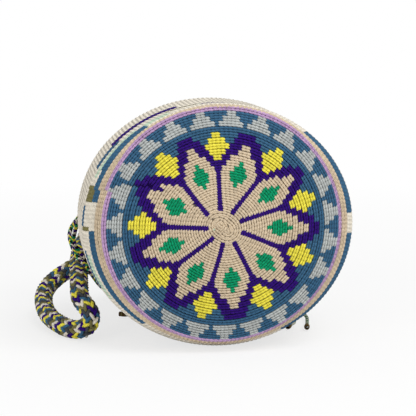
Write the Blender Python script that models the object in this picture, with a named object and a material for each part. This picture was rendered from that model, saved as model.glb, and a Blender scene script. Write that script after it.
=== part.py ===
"""Crocheted bucket bag, stuffed full and lying on its side with its round base to the front.

Units are metres. +X is right, +Y runs from the base to the mouth, +Z is up.
The origin is under the middle of the bag, on the surface that it lies on.
"""
import math

import bmesh
import bpy
from mathutils import Vector

# Bag: the sizes that a maker would measure
BASE_RADIUS = 0.120
BASE_BULGE = 0.018
HALF_WIDTH = 0.142
HALF_HEIGHT = 0.127
SETTLE = 0.0035          # how far the underside is pressed flat by its own weight
BASE_CENTRE_HEIGHT = 0.132
BASE_CENTRE_X = -0.004   # the base sits a little to the left of the full section
SWELL_LENGTH = 0.075     # from the base's edge to the fullest section
SIDE_LENGTH = 0.130      # from the base's edge to where the shoulder starts
SHOULDER_LENGTH = 0.092  # from there to the gathered neck
NECK_RADIUS = 0.060
NECK_HEIGHT = 0.114
FRILL_LENGTH = 0.030     # the part of the wall above the drawstring
FRILL_RADIUS = 0.078
FOLDS = 10
FOLD_DEPTH = 0.013
FOLD_ROUNDING = 0.6      # 0 is a plain wave, 1 has flat walls between the folds
WALL = 0.0045
ROW = 0.0053             # height of one crochet row
ROW_GROWTH = 7.3         # stitches that each row of the base adds
PETALS = 9
TRIANGLES = 23           # grey triangles round the base's edge
SEGMENTS = PETALS * FOLDS

# Cords and what is on them
GAP = 0.0003             # between pieces that touch
STRAP_DIAMETER = 0.019
STRING_DIAMETER = 0.0045
TAIL_DIAMETER = 0.0035
STRAP_STEP = 0.016       # between the points of each cord's curve
STRING_STEP = 0.0145
TAIL_STEP = 0.009
EYELET_CLEARANCE = 0.0005
SLEEVE_CLEARANCE = 0.0010
SLEEVE_WALL = 0.0018
SLEEVE_LENGTH = 0.026
SLEEVE_CHAMFER = 0.0006
SLEEVE_START = 0.005     # from the neck to the sleeve, along the fold
STRAP_RUN_OUT = 0.012    # how far the strap goes straight on past its sleeve
STRING_RUN_OUT = 0.055   # radians from the valley's middle to each end of the string
STRING_OUTSIDE = 0.007   # how far the string stands off the neck there
STRING_IN_VALLEY = 0.0012
STRING_TURNS = 36        # places round the neck that the string's ring goes through
KNOT_RADIUS = 0.0065
TIP_DIAMETER = 0.0062
TIP_LENGTH = 0.010

NECK_DEPTH = SIDE_LENGTH + SHOULDER_LENGTH
FRILL_SLANT = Vector((FRILL_RADIUS - NECK_RADIUS, FRILL_LENGTH)).normalized()
BAG_LENGTH = BASE_BULGE + NECK_DEPTH + FRILL_LENGTH + WALL * FRILL_SLANT.x
BASE_EDGE_Y = BASE_BULGE - BAG_LENGTH / 2
LEFT_CREST = 4           # the folds that carry the strap's two ends
RIGHT_CREST = 9
STRING_VALLEY = 4.5      # the valley between folds 4 and 5, where the string comes out

# Where the strap goes, from its left end on the rim to its right one
STRAP_ROUTE_LEFT = [
    (-0.0870, 0.158, 0.1680), (-0.0950, 0.178, 0.1520), (-0.1050, 0.184, 0.1270), (-0.1150, 0.172, 0.1020),
    (-0.1230, 0.148, 0.0860), (-0.1303, 0.118, 0.0770), (-0.1364, 0.086, 0.0695), (-0.1392, 0.053, 0.0631),
    (-0.1405, 0.021, 0.0580), (-0.1415, -0.005, 0.0517), (-0.1419, -0.022, 0.0452), (-0.1405, -0.031, 0.0404),
    (-0.1358, -0.037, 0.0352), (-0.1319, -0.042, 0.0281), (-0.1325, -0.043, 0.0196), (-0.1381, -0.040, 0.0129),
    (-0.1463, -0.034, 0.0102), (-0.1547, -0.025, 0.0102), (-0.1635, -0.008, 0.0113), (-0.1716, 0.016, 0.0130),
    (-0.1765, 0.044, 0.0164), (-0.1775, 0.072, 0.0212), (-0.1756, 0.093, 0.0260), (-0.1703, 0.107, 0.0315),
    (-0.1627, 0.116, 0.0367), (-0.1533, 0.123, 0.0420), (-0.1415, 0.130, 0.0468)]
STRAP_ROUTE_RIGHT = [
    (-0.1260, 0.142, 0.0470), (-0.1040, 0.164, 0.0370), (-0.0780, 0.188, 0.0215), (-0.0480, 0.212, 0.0105),
    (-0.0100, 0.232, 0.0098), (0.0300, 0.240, 0.0098), (0.0680, 0.232, 0.0105), (0.0900, 0.208, 0.0150),
    (0.0965, 0.180, 0.0290)]

# Where the drawstring goes: both ends leave the neck together, on the left
STRING_ROUTE_A = [
    (-0.0780, 0.103, 0.1410), (-0.1040, 0.087, 0.1400), (-0.1240, 0.066, 0.1310), (-0.1345, 0.052, 0.1225),
    (-0.1398, 0.043, 0.1171), (-0.1468, 0.033, 0.1098), (-0.1498, 0.025, 0.1011), (-0.1476, 0.018, 0.0912),
    (-0.1440, 0.013, 0.0821), (-0.1374, 0.011, 0.0746), (-0.1321, 0.011, 0.0691), (-0.1262, 0.014, 0.0590),
    (-0.1170, 0.020, 0.0460), (-0.1040, 0.036, 0.0330), (-0.0900, 0.054, 0.0190), (-0.0770, 0.068, 0.0100),
    (-0.0650, 0.078, 0.0070)]
STRING_ROUTE_B = [
    (-0.0780, 0.103, 0.1340), (-0.1040, 0.092, 0.1310), (-0.1220, 0.078, 0.1230), (-0.1335, 0.064, 0.1175),
    (-0.1390, 0.055, 0.1140), (-0.1408, 0.047, 0.1095), (-0.1439, 0.039, 0.1011), (-0.1451, 0.031, 0.0946),
    (-0.1411, 0.022, 0.0851), (-0.1361, 0.017, 0.0783), (-0.1308, 0.017, 0.0707), (-0.1250, 0.020, 0.0610),
    (-0.1165, 0.027, 0.0480), (-0.1040, 0.043, 0.0340), (-0.0900, 0.061, 0.0200), (-0.0740, 0.080, 0.0080),
    (-0.0560, 0.096, 0.0026), (-0.0300, 0.108, 0.0026), (0.0100, 0.108, 0.0026), (0.0500, 0.092, 0.0026),
    (0.0850, 0.070, 0.0045), (0.1040, 0.052, 0.0070)]
LEFT_TAILS = [
    [(-0.0590, 0.0690, 0.0032), (-0.0700, 0.0640, 0.0028), (-0.0835, 0.0690, 0.0034)],
    [(-0.0500, 0.0770, 0.0032), (-0.0430, 0.0680, 0.0028), (-0.0400, 0.0580, 0.0034)]]
RIGHT_TAILS = [
    [(0.0990, 0.0310, 0.0035), (0.0950, 0.0080, 0.0024), (0.0865, -0.0110, 0.0034)],
    [(0.1125, 0.0270, 0.0035), (0.1090, 0.0060, 0.0024), (0.1045, -0.0160, 0.0034)]]

# Rings of the mesh, in rows from the middle of the base and in shares of each stretch of the wall
BASE_RINGS = (3, 8, 11, 13, 16, 19, 22)
SWELL_RINGS = (0.10, 0.28, 0.55, 1.0)
SIDE_RINGS = (0.5, 1.0)
SHOULDER_RINGS = (0.14, 0.28, 0.42, 0.55, 0.68, 0.80, 0.91, 1.0)
FRILL_RINGS = (0.33, 0.67, 1.0)

COLOURS = {
    "beige_yarn": (0.56, 0.45, 0.33), "purple_yarn": (0.045, 0.009, 0.150), "green_yarn": (0.004, 0.275, 0.130),
    "yellow_yarn": (0.76, 0.67, 0.078), "blue_yarn": (0.037, 0.090, 0.168), "grey_yarn": (0.38, 0.40, 0.41),
    "lilac_yarn": (0.57, 0.46, 0.60), "cream_yarn": (0.70, 0.62, 0.51), "strap_braid": (0.13, 0.13, 0.15),
    "string_braid": (0.10, 0.25, 0.12), "whipping_yarn": (0.20, 0.18, 0.09)}


def yarn(name, roughness=0.85):
    """One Principled material for each colour of yarn, made the first time that it is asked for."""
    material = bpy.data.materials.get(name)
    if material is None:
        material = bpy.data.materials.new(name)
        material.use_nodes = True
        shader = material.node_tree.nodes["Principled BSDF"]
        shader.inputs["Base Color"].default_value = (*COLOURS[name], 1)
        shader.inputs["Roughness"].default_value = roughness
        shader.inputs["Metallic"].default_value = 0
    return material


def ease(share):
    """Goes from 0 to 1 with a level start and end."""
    share = min(max(share, 0), 1)
    return share * share * (3 - 2 * share)


def section(depth):
    """Half width, half height, centre and fold depth of the bag at a depth behind the base's edge."""
    lying = HALF_HEIGHT - SETTLE
    if depth <= SWELL_LENGTH:
        left = 1 - depth / SWELL_LENGTH
        fullness = 1 - left ** 3.5
        centre = (BASE_CENTRE_X * left ** 2, lying + (BASE_CENTRE_HEIGHT - lying) * left ** 2)
        return (BASE_RADIUS + (HALF_WIDTH - BASE_RADIUS) * fullness,
                BASE_RADIUS + (HALF_HEIGHT - BASE_RADIUS) * fullness, centre, 0)
    if depth <= NECK_DEPTH:
        share = max(0, (depth - SIDE_LENGTH) / SHOULDER_LENGTH)
        fullness = math.cos(math.pi / 2 * share)
        centre = (0, lying + (NECK_HEIGHT - lying) * ease(share))
        return (NECK_RADIUS + (HALF_WIDTH - NECK_RADIUS) * fullness,
                NECK_RADIUS + (HALF_HEIGHT - NECK_RADIUS) * fullness, centre, FOLD_DEPTH * ease(share))
    radius = NECK_RADIUS + (FRILL_RADIUS - NECK_RADIUS) * (depth - NECK_DEPTH) / FRILL_LENGTH
    return radius, radius, (0, NECK_HEIGHT), FOLD_DEPTH


def wall_point(depth, turn):
    """A point on the outside of the wall; turn is 0 at the right and grows towards the top."""
    half_width, half_height, centre, fold = section(depth)
    rounding = FOLD_ROUNDING * fold / FOLD_DEPTH
    angle = turn + rounding * math.sin(2 * FOLDS * turn) / (2 * FOLDS)
    out = fold * math.cos(FOLDS * turn)
    height = centre[1] + (half_height + out) * math.sin(angle)
    return Vector((centre[0] + (half_width + out) * math.cos(angle), BASE_EDGE_Y + depth, max(height, 0)))


def base_point(radius, turn):
    """A point on the bulging base."""
    depth = -BASE_BULGE * (1 - (radius / BASE_RADIUS) ** 2)
    return Vector((BASE_CENTRE_X + radius * math.cos(turn), BASE_EDGE_Y + depth,
                   BASE_CENTRE_HEIGHT + radius * math.sin(turn)))


def base_yarn(row, share):
    """The flower on the base as fields of colour: share runs from one spoke to the next."""
    stitches = row * ROW_GROWTH / PETALS
    from_spoke = min(share, 1 - share) * stitches
    from_axis = abs(share - 0.5) * stitches
    if row > 22:
        return "lilac_yarn"
    if row > 19:
        return "grey_yarn" if (share * TRIANGLES / PETALS) % 1 < 0.62 else "blue_yarn"
    if row > 17:
        return "purple_yarn" if from_axis < 2 else "yellow_yarn" if from_spoke < 1 else "blue_yarn"
    if row > 13:
        yellow = 3 - abs(row - 16)
        if from_spoke < yellow:
            return "yellow_yarn"
        return "purple_yarn" if from_spoke < yellow + 2 or row > 16.5 else "beige_yarn"
    if row > 8 and from_axis < 2.2 - abs(row - 11) * 0.6:
        return "green_yarn"
    return "purple_yarn" if row > 3 and from_spoke < 0.6 + max(0, row - 11) * 0.7 else "beige_yarn"


def wall_yarn(depth):
    """The wall as plain bands: cream beside the base, blue, then cream again up to the mouth."""
    if depth < 2 * ROW:
        return "beige_yarn"
    return "blue_yarn" if depth < 4 * ROW else "cream_yarn"


def make_bag():
    """The whole bag is crocheted in one piece: base, wall, gathered neck and frill."""
    slots = [name for name in COLOURS if name.endswith("_yarn")]
    rings = [(ROW * count, None) for count in BASE_RINGS] + [(BASE_RADIUS, None)]
    depths = [SWELL_LENGTH * share for share in SWELL_RINGS]
    depths += [SWELL_LENGTH + (SIDE_LENGTH - SWELL_LENGTH) * share for share in SIDE_RINGS]
    depths += [SIDE_LENGTH + SHOULDER_LENGTH * share for share in SHOULDER_RINGS]
    depths += [NECK_DEPTH + FRILL_LENGTH * share for share in FRILL_RINGS]
    rings += [(None, depth) for depth in depths]
    turns = [2 * math.pi * k / SEGMENTS for k in range(SEGMENTS)]

    shell = bmesh.new()
    middle = shell.verts.new(base_point(0, 0))
    before = None
    last_size = 0
    for radius, depth in rings:
        places = [base_point(radius, t) if depth is None else wall_point(depth, t) for t in turns]
        ring = [shell.verts.new(place) for place in places]
        size = radius if depth is None else depth
        for k in range(SEGMENTS):
            after = (k + 1) % SEGMENTS
            corners = (middle, ring[k], ring[after]) if before is None else \
                (before[k], ring[k], ring[after], before[after])
            face = shell.faces.new(corners)
            face.smooth = True
            share = (k + 0.5) / FOLDS % 1
            name = base_yarn((last_size + size) / 2 / ROW, share) if depth is None else \
                wall_yarn((min(last_size, depth) + depth) / 2)
            face.material_index = slots.index(name)
        last_size = size if depth is not None or radius < BASE_RADIUS else 0
        before = ring
    bmesh.ops.recalc_face_normals(shell, faces=shell.faces)
    mesh = bpy.data.meshes.new("bag_body")
    shell.to_mesh(mesh)
    shell.free()
    for name in slots:
        mesh.materials.append(yarn(name))
    bag = bpy.data.objects.new("bag_body", mesh)
    bpy.context.collection.objects.link(bag)
    thickness = bag.modifiers.new("wall", "SOLIDIFY")
    thickness.thickness = WALL
    thickness.offset = -1
    return bag


def smooth_path(points, spacing):
    """Evenly spaced points on a smooth curve through a route's points."""
    route = [Vector(p) for p in points]
    route = [2 * route[0] - route[1]] + route + [2 * route[-1] - route[-2]]
    steps = 24
    fine = []
    for a, b, c, d in zip(route, route[1:], route[2:], route[3:]):
        for k in range(steps):
            t = k / steps
            fine.append(0.5 * (2 * b + (c - a) * t + (2 * a - 5 * b + 4 * c - d) * t ** 2
                               + (3 * b - a - 3 * c + d) * t ** 3))
    fine.append(route[-2])
    lengths = [0]
    for a, b in zip(fine, fine[1:]):
        lengths.append(lengths[-1] + (b - a).length)
    count = max(2, round(lengths[-1] / spacing))
    path = []
    k = 0
    for n in range(count + 1):
        goal = lengths[-1] * n / count
        while k < len(fine) - 2 and lengths[k + 1] < goal:
            k += 1
        share = (goal - lengths[k]) / (lengths[k + 1] - lengths[k])
        path.append(fine[k].lerp(fine[k + 1], min(share, 1)))
    return path


def make_cord(name, points, diameter, spacing, material, sides=2):
    """A round cord as a bevelled curve with closed ends."""
    curve = bpy.data.curves.new(name, "CURVE")
    curve.dimensions = "3D"
    curve.bevel_depth = diameter / 2
    curve.bevel_resolution = sides
    curve.use_fill_caps = True
    path = smooth_path(points, spacing)
    spline = curve.splines.new("POLY")
    spline.points.add(len(path) - 1)
    for point, place in zip(spline.points, path):
        point.co = (*place, 1)
    curve.materials.append(yarn(material))
    cord = bpy.data.objects.new(name, curve)
    bpy.context.collection.objects.link(cord)
    return cord


def neck_point(radius, turn, depth=NECK_DEPTH):
    """A point around the neck's axis."""
    return Vector((radius * math.cos(turn), BASE_EDGE_Y + depth, NECK_HEIGHT + radius * math.sin(turn)))


def crest_place(fold, along):
    """A place on the line of a strap's end: along is measured up the frill's fold from the neck."""
    turn = 2 * math.pi * fold / FOLDS
    slant = FRILL_SLANT
    off = STRAP_DIAMETER / 2 + SLEEVE_CLEARANCE + SLEEVE_WALL + GAP
    radius = NECK_RADIUS + FOLD_DEPTH + slant.x * along + slant.y * off
    return neck_point(radius, turn, NECK_DEPTH + slant.y * along - slant.x * off)


def turned_piece(name, profile, start, end, material, hollow=False):
    """A round piece between two points, from (radius, share of the way) pairs; a hollow one is a sleeve."""
    around = 12
    axis = end - start
    turn = axis.to_track_quat("Z", "Y")
    angles = [2 * math.pi * k / around for k in range(around)]
    shape = bmesh.new()
    rings = []
    for radius, share in profile:
        around_axis = [Vector((radius * math.cos(a), radius * math.sin(a), 0)) for a in angles]
        rings.append([shape.verts.new(start + axis * share + turn @ place) for place in around_axis])
    for ring, following in zip(rings, rings[1:] + rings[:1] * hollow):
        for k in range(around):
            after = (k + 1) % around
            shape.faces.new((ring[k], ring[after], following[after], following[k]))
    if not hollow:
        shape.faces.new(rings[0])
        shape.faces.new(rings[-1])
    bmesh.ops.recalc_face_normals(shape, faces=shape.faces)
    mesh = bpy.data.meshes.new(name)
    shape.to_mesh(mesh)
    shape.free()
    mesh.shade_smooth()
    mesh.set_sharp_from_angle(angle=math.radians(50))
    mesh.materials.append(yarn(material))
    piece = bpy.data.objects.new(name, mesh)
    bpy.context.collection.objects.link(piece)
    return piece


def make_strap():
    """The braided shoulder strap, from the sleeve on one side of the rim to the one on the other."""
    held = [SLEEVE_START + add for add in (0, SLEEVE_LENGTH / 2, SLEEVE_LENGTH, SLEEVE_LENGTH + STRAP_RUN_OUT)]
    left = [crest_place(LEFT_CREST, along) for along in held]
    right = [crest_place(RIGHT_CREST, along) for along in reversed(held)]
    points = left + STRAP_ROUTE_LEFT + STRAP_ROUTE_RIGHT + right
    return make_cord("shoulder_strap", points, STRAP_DIAMETER, STRAP_STEP, "strap_braid", 3)


def make_sleeve(name, fold):
    """Whipping that holds a strap's end on a fold of the frill."""
    inside = STRAP_DIAMETER / 2 + SLEEVE_CLEARANCE
    outside = inside + SLEEVE_WALL
    edge = SLEEVE_CHAMFER / SLEEVE_LENGTH
    profile = [(inside, 0), (outside - SLEEVE_CHAMFER, 0), (outside, edge),
               (outside, 1 - edge), (outside - SLEEVE_CHAMFER, 1), (inside, 1)]
    start = crest_place(fold, SLEEVE_START)
    end = crest_place(fold, SLEEVE_START + SLEEVE_LENGTH)
    return turned_piece(name, profile, start, end, "whipping_yarn", hollow=True)


def string_ring():
    """The drawstring's way round the neck, in and out through the folds, and the first of both ends."""
    valley = 2 * math.pi * STRING_VALLEY / FOLDS
    fold = 2 * math.pi / FOLDS
    all_round = 2 * math.pi - fold / 2
    turns = [valley - fold / 4 - all_round * k / STRING_TURNS for k in range(STRING_TURNS + 1)]
    ends = []
    for side in (-1, 1):
        ends.append([neck_point(NECK_RADIUS + STRING_OUTSIDE, valley + side * STRING_RUN_OUT),
                     neck_point(NECK_RADIUS + STRING_IN_VALLEY, valley + side * fold / 6)])
    return ends[0] + [neck_point(NECK_RADIUS, turn) for turn in turns] + ends[1][::-1]


def knot_centres():
    """The two knots, each a little past the last point of the drawstring's end."""
    places = []
    for route in (STRING_ROUTE_A, STRING_ROUTE_B):
        last = Vector(route[-1])
        way = last - Vector(route[-2])
        way.z = 0
        places.append(last + way.normalized() * (KNOT_RADIUS + 2 * GAP))
    return places


def make_knot(name, centre, toward):
    """A round knot, a little longer than it is wide, on the drawstring's line."""
    half = (toward - centre).normalized() * KNOT_RADIUS
    arcs = 5
    profile = []
    for k in range(arcs):
        angle = math.pi * (k + 0.5) / arcs
        profile.append((KNOT_RADIUS * math.sin(angle), 0.5 - math.cos(angle) / 2))
    return turned_piece(name, profile, centre - half, centre + half, "string_braid")


def make_tail(name, route, knot):
    """A thin tail from a knot to its wrapped tip."""
    first = Vector(route[0])
    start = knot + (first - knot).normalized() * (KNOT_RADIUS + 2 * GAP)
    make_cord(name, [start] + route, TAIL_DIAMETER, TAIL_STEP, "string_braid")
    last = Vector(route[-1])
    way = (last - Vector(route[-2])).normalized()
    way.z = 0
    begin = last + way * GAP
    end = begin + way * TIP_LENGTH
    lift = Vector((0, 0, max(0, TIP_DIAMETER / 2 + GAP - begin.z)))
    radius = TIP_DIAMETER / 2
    profile = [(radius * 0.72, 0), (radius, 0.12), (radius, 0.88), (radius * 0.72, 1)]
    turned_piece(name.replace("tail", "tip"), profile, begin + lift, end + lift, "whipping_yarn")


def build():
    """The bag, its eyelets, and the cords with what is on them."""
    for item in list(bpy.data.objects):
        bpy.data.objects.remove(item)
    bag = make_bag()
    string = list(reversed(STRING_ROUTE_A)) + string_ring() + STRING_ROUTE_B
    make_cord("drawstring", string, STRING_DIAMETER, STRING_STEP, "string_braid")
    bore = STRING_DIAMETER + 2 * EYELET_CLEARANCE
    guide = make_cord("eyelet_guide", string, bore, STRING_STEP, "string_braid")
    cutter = bpy.data.objects.new("eyelet_cutter", bpy.data.meshes.new_from_object(guide))
    bpy.data.objects.remove(guide)
    bpy.context.collection.objects.link(cutter)
    cutter.hide_render = True
    cutter.display_type = "WIRE"
    eyelets = bag.modifiers.new("eyelets", "BOOLEAN")
    eyelets.operation = "DIFFERENCE"
    eyelets.object = cutter
    make_strap()
    make_sleeve("strap_end_left", LEFT_CREST)
    make_sleeve("strap_end_right", RIGHT_CREST)
    for side, centre, route, tails in zip(
            ("left", "right"), knot_centres(), (STRING_ROUTE_A, STRING_ROUTE_B), (LEFT_TAILS, RIGHT_TAILS)):
        make_knot("knot_" + side, centre, Vector(route[-1]))
        for number, tail in enumerate(tails, 1):
            make_tail(f"tail_{side}_{number}", tail, centre)


build()
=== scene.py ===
# %% [markdown]
# # A crocheted bucket bag, stitch by stitch
#
# The bag is tapestry crochet: one spiral of small tight stitches that starts in the middle of the
# round base, turns the corner into the wall and ends at a gathered mouth. Colours change from
# stitch to stitch, so the pattern is a chart of rows and stitches and not a print. It lies on its
# side, stuffed full, with its base to the front and its braided strap beside it.
#
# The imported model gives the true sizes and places. Everything below is modelled around it.

# %% The frame
import math

import bmesh
import bpy
import numpy as np
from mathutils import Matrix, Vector


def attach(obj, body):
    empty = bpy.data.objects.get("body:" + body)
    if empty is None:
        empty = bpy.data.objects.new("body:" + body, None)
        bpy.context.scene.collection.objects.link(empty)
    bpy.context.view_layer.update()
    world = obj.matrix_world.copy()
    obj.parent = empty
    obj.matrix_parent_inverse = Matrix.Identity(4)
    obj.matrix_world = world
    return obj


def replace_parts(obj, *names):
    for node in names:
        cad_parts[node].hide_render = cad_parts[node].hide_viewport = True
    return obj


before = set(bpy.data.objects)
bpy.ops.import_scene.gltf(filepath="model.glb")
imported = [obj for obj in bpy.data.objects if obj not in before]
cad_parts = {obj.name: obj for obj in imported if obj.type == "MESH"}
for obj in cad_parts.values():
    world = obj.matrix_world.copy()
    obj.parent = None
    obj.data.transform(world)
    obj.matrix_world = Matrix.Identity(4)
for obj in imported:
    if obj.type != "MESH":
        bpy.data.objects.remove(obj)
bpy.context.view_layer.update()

# %% [markdown]
# ## The bag's own sizes
#
# The surface that the stitches lie on follows the same few sizes as the model: a bulging base, a
# side that swells to its fullest section, a shoulder that narrows in soft folds, a neck where the
# string gathers it, and a frill. A formula is better here than a sculpted mesh, because every
# stitch can ask it for its place.

# %% Sizes, in metres
BASE_RADIUS = 0.120
BASE_BULGE = 0.018
BASE_CENTRE = (-0.004, 0.132)     # across and up
HALF_WIDTH = 0.142
HALF_HEIGHT = 0.127
LYING_HEIGHT = HALF_HEIGHT - 0.0035   # the underside is pressed flat by that much
SWELL_LENGTH = 0.075
SWELL_POWER = 3.5                 # the higher, the sooner the wall comes near its full width
SIDE_LENGTH = 0.130
SHOULDER_LENGTH = 0.092
NECK_DEPTH = SIDE_LENGTH + SHOULDER_LENGTH
NECK_RADIUS = 0.060
NECK_HEIGHT = 0.114
FRILL_LENGTH = 0.030
FRILL_RADIUS = 0.078
FOLDS = 10
FOLD_DEPTH = 0.013
FOLD_ROUNDING = 0.6
WALL = 0.0045
ROW = 0.0053                      # the height of one crochet row
MOUTH_DEPTH = NECK_DEPTH + FRILL_LENGTH
FRILL_SLANT = Vector((FRILL_RADIUS - NECK_RADIUS, FRILL_LENGTH)).normalized()
BASE_EDGE_Y = (BASE_BULGE - NECK_DEPTH - FRILL_LENGTH - WALL * FRILL_SLANT.x) / 2
print("the base's edge is at y =", round(1000 * BASE_EDGE_Y, 1), "mm")


# %% The surface of the bag
def ease(share):
    """Goes from 0 to 1 with a level start and end."""
    share = min(max(share, 0), 1)
    return share * share * (3 - 2 * share)


def section(depth):
    """Half width, half height, centre and fold depth at a depth behind the base's edge."""
    if depth <= SWELL_LENGTH:
        left = 1 - depth / SWELL_LENGTH
        full = 1 - left ** SWELL_POWER
        centre = (BASE_CENTRE[0] * left ** 2, LYING_HEIGHT + (BASE_CENTRE[1] - LYING_HEIGHT) * left ** 2)
        return (BASE_RADIUS + (HALF_WIDTH - BASE_RADIUS) * full,
                BASE_RADIUS + (HALF_HEIGHT - BASE_RADIUS) * full, centre, 0)
    if depth <= NECK_DEPTH:
        share = max(0, (depth - SIDE_LENGTH) / SHOULDER_LENGTH)
        full = math.cos(math.pi / 2 * share)
        centre = (0, LYING_HEIGHT + (NECK_HEIGHT - LYING_HEIGHT) * ease(share))
        return (NECK_RADIUS + (HALF_WIDTH - NECK_RADIUS) * full,
                NECK_RADIUS + (HALF_HEIGHT - NECK_RADIUS) * full, centre, FOLD_DEPTH * ease(share))
    radius = NECK_RADIUS + (FRILL_RADIUS - NECK_RADIUS) * (depth - NECK_DEPTH) / FRILL_LENGTH
    return radius, radius, (0, NECK_HEIGHT), FOLD_DEPTH


def wall_point(depth, turn):
    """A point on the wall; turn is 0 at the right and grows towards the top."""
    half_width, half_height, centre, fold = section(depth)
    angle = turn + FOLD_ROUNDING * fold / FOLD_DEPTH * math.sin(2 * FOLDS * turn) / (2 * FOLDS)
    out = fold * math.cos(FOLDS * turn)
    height = centre[1] + (half_height + out) * math.sin(angle)
    return Vector((centre[0] + (half_width + out) * math.cos(angle), BASE_EDGE_Y + depth, max(height, 0)))


def base_point(radius, turn):
    """A point on the bulging base."""
    depth = -BASE_BULGE * (1 - (radius / BASE_RADIUS) ** 2)
    return Vector((BASE_CENTRE[0] + radius * math.cos(turn), BASE_EDGE_Y + depth,
                   BASE_CENTRE[1] + radius * math.sin(turn)))


# %% [markdown]
# ## Walking over the surface
#
# Crochet rows have one height wherever they are, so a row's place is a distance walked from the
# middle of the base, over the edge and along the wall. The walk over the base has a short formula.
# Along the wall it is measured once in small steps and looked up after that.

# %% The way from the middle of the base to the mouth
BULGE_SLOPE = 2 * BASE_BULGE / BASE_RADIUS ** 2
BASE_WALK = BASE_RADIUS + BULGE_SLOPE ** 2 * BASE_RADIUS ** 3 / 6
walk_depths = np.linspace(0, MOUTH_DEPTH, 400)
walk_radii = np.array([sum(section(depth)[:2]) / 2 for depth in walk_depths])
wall_walk = np.concatenate([[0], np.cumsum(np.hypot(np.diff(walk_depths), np.diff(walk_radii)))])
WHOLE_WALK = BASE_WALK + wall_walk[-1]


def surface_at(walk, turn):
    """The point on the bag's outside at a distance walked from the middle of the base."""
    if walk < BASE_WALK:
        return base_point(walk - BULGE_SLOPE ** 2 * walk ** 3 / 6, turn)
    return wall_point(float(np.interp(walk - BASE_WALK, wall_walk, walk_depths)), turn)


print("from the middle of the base to the rim:", round(1000 * WHOLE_WALK), "mm")

# %% [markdown]
# ## Where the rows lie
#
# The maker began with a short line of stitches, so the first rounds are oval, and the middle of the
# rings is not quite the middle of the base. The rows could be true circles, but then every ring of
# the pattern would sit a little wrong. So a row's place is first found on a flat chart, with the
# oval and the shift in it, and then it is laid on the surface.

# %% The rows' own places
START = 0.0031                    # the outer rows lie this much farther out than their count gives
INNER_PULL = 0.0034               # and the rows of the petals this much nearer the middle than those
PULL_START, PULL_LENGTH = 0.060, 0.050
FIRST_START = 0.0016              # the first rows make room for the stitches that they go about
START_FADE = 0.030
FIRST_OVAL = 0.0038               # and are longer than wide by four times this
FIRST_FADE = 0.016
START_AXIS = math.radians(-44)    # the way the first line of stitches runs
FIRST_MIDDLE = Vector((0.0001, -0.0013))   # of the first rings, from the middle of the base
LAST_MIDDLE = Vector((0.0011, -0.0034))    # of the rings at the edge
OUTER_OVAL = 0.0015
FADE_LENGTH = 0.150               # the shift has gone this far up the wall
LAST_ROW = int((WHOLE_WALK - START) / ROW)
NECK_ROW = int((BASE_WALK + np.interp(NECK_DEPTH, walk_depths, wall_walk) - START) / ROW)


def row_place(walk, turn):
    """The point on the outside for a distance counted in rows and a turn about the rings' middle."""
    early = math.exp(-walk / FIRST_FADE)
    kept = 1 - ease((walk - BASE_WALK) / FADE_LENGTH)
    middle = kept * FIRST_MIDDLE.lerp(LAST_MIDDLE, ease(walk / BASE_WALK))
    reach = walk + START - INNER_PULL * (1 - ease((walk - PULL_START) / PULL_LENGTH))
    reach += FIRST_START * math.exp(-walk / START_FADE)
    reach += early * FIRST_OVAL * math.cos(2 * (turn - START_AXIS))
    reach += kept * (1 - early) * OUTER_OVAL * math.cos(2 * turn)
    across = middle.x + reach * math.cos(turn)
    up = middle.y + reach * math.sin(turn)
    return surface_at(math.hypot(across, up), math.atan2(up, across))


def frame_at(walk, turn):
    """That point, the way round the row (as long as one radian of it) and the way out."""
    small_walk, small_turn = 0.0008, 0.004
    around = (row_place(walk, turn + small_turn) - row_place(walk, turn - small_turn)) / (2 * small_turn)
    onward = row_place(walk + small_walk, turn) - row_place(max(walk - small_walk, 0), turn)
    return row_place(walk, turn), around, onward.cross(around).normalized()


print("rows from the middle to the rim:", LAST_ROW, "and to the neck:", NECK_ROW)

# %% [markdown]
# ## The camera
#
# The camera stands where the photographer stood: a little to the left of the bag and a little
# above it, far enough away for the round base to look nearly round. Its aim is found from one
# landmark, the centre of the base's edge, whose place in the picture is known.

# %% The camera
PICTURE_WIDTH = 416
MM_PER_PIXEL = 1.004              # at the base's edge
CAMERA_AZIMUTH = math.radians(-7.5)
CAMERA_ELEVATION = math.radians(8.0)
CAMERA_DISTANCE = 1.6
EDGE_CENTRE_X, EDGE_CENTRE_Y = 221.3, 224.4    # pixels, from the picture's top left corner
SENSOR = 36

back = Vector((math.sin(CAMERA_AZIMUTH) * math.cos(CAMERA_ELEVATION),
               -math.cos(CAMERA_AZIMUTH) * math.cos(CAMERA_ELEVATION), math.sin(CAMERA_ELEVATION)))
turned = back.to_track_quat("Z", "Y")
metre_per_pixel = MM_PER_PIXEL / 1000
off_centre = Vector((PICTURE_WIDTH / 2 - EDGE_CENTRE_X, EDGE_CENTRE_Y - PICTURE_WIDTH / 2, 0))
off_centre *= metre_per_pixel
edge_centre = Vector((BASE_CENTRE[0], BASE_EDGE_Y, BASE_CENTRE[1]))

camera = bpy.data.objects.new("camera", bpy.data.cameras.new("camera"))
bpy.context.collection.objects.link(camera)
camera.location = edge_centre + turned @ off_centre + back * CAMERA_DISTANCE
camera.rotation_mode = "QUATERNION"
camera.rotation_quaternion = turned
camera.data.sensor_width = SENSOR
camera.data.lens = SENSOR * CAMERA_DISTANCE / (PICTURE_WIDTH * metre_per_pixel)
bpy.context.scene.camera = camera
print("the lens is", round(camera.data.lens, 1), "mm")
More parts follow.
